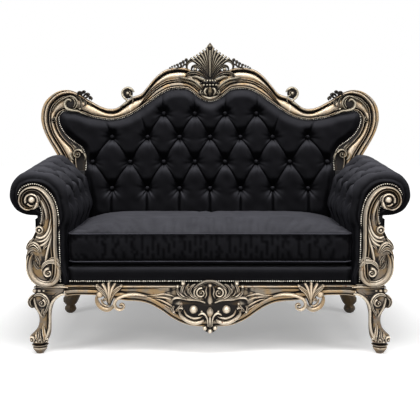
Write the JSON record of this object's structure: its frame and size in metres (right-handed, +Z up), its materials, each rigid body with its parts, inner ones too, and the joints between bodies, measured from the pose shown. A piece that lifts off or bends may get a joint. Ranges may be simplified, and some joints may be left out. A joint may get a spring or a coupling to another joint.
{
  "type": "loveseat",
  "caption": "Baroque loveseat with a carved gilt frame, a black velvet tufted back, scroll arms and one loose seat cushion.",
  "frame": {"origin": "middle of the footprint, on the floor", "axes": "+X to the right as seen from in front, -Y is the front, +Z up"},
  "size_m": [1.612, 0.7594, 1.2925],
  "materials": {
    "gilt_wood": "silver-gold leaf rubbed back over dark umber, in the low places almost black",
    "beech_frame": "bare planed beech",
    "black_velvet": "short-pile velvet",
    "lining_cloth": "plain woven cloth",
    "steel": "drawn wire and bright bolts",
    "nails": "nickelled domed nails"
  },
  "bodies": {
    "frame": {"apron_cartouche": "gilt_wood", "apron_leaf_l": "gilt_wood", "apron_leaf_r": "gilt_wood", "arm_cover_l": "black_velvet", "arm_cover_r": "black_velvet", "arm_frame_l": "beech_frame", "arm_frame_r": "beech_frame", "arm_nail_trim_l": "nails", "arm_nail_trim_r": "nails", "arm_pad_l": "black_velvet", "arm_pad_r": "black_velvet", "arm_post_l": "gilt_wood", "arm_post_r": "gilt_wood", "back_board": "beech_frame", "back_cover": "black_velvet", "back_cross_rail": "beech_frame", "back_nail_trim": "nails", "back_pad": "black_velvet", "back_post_l": "beech_frame", "back_post_r": "beech_frame", "back_stile_l": "gilt_wood", "back_stile_r": "gilt_wood", "crest_palmette": "gilt_wood", "crest_rail_l": "gilt_wood", "crest_rail_r": "gilt_wood", "crest_volute_l": "gilt_wood", "crest_volute_r": "gilt_wood", "deck_pad": "lining_cloth", "dust_cover": "lining_cloth", "front_border": "black_velvet", "front_corner_block_l": "beech_frame", "front_corner_block_r": "beech_frame", "front_leg_bolt_l": "steel", "front_leg_bolt_r": "steel", "front_leg_l": "gilt_wood", "front_leg_r": "gilt_wood", "front_nail_trim": "nails", "front_rail": "gilt_wood", "rear_corner_block_l": "beech_frame", "rear_corner_block_r": "beech_frame", "rear_leg_bolt_l": "steel", "rear_leg_bolt_r": "steel", "rear_leg_l": "gilt_wood", "rear_leg_r": "gilt_wood", "rear_rail": "beech_frame", "seat_spring_1": "steel", "seat_spring_2": "steel", "seat_spring_3": "steel", "seat_spring_4": "steel", "seat_spring_5": "steel", "seat_spring_6": "steel", "shoulder_leaf_l": "gilt_wood", "shoulder_leaf_r": "gilt_wood", "side_rail_l": "gilt_wood", "side_rail_r": "gilt_wood", "spring_rail_front": "beech_frame", "spring_rail_rear": "beech_frame", "stile_scroll_l": "gilt_wood", "stile_scroll_r": "gilt_wood"},
    "cushion": {"seat_cushion": "black_velvet"}
  },
  "joints": [
    {"name": "cushion_slide", "type": "slide", "parent": "frame", "child": "cushion", "axis": [0, -1, 0], "range_m": [0, 0.24]}
  ]
}
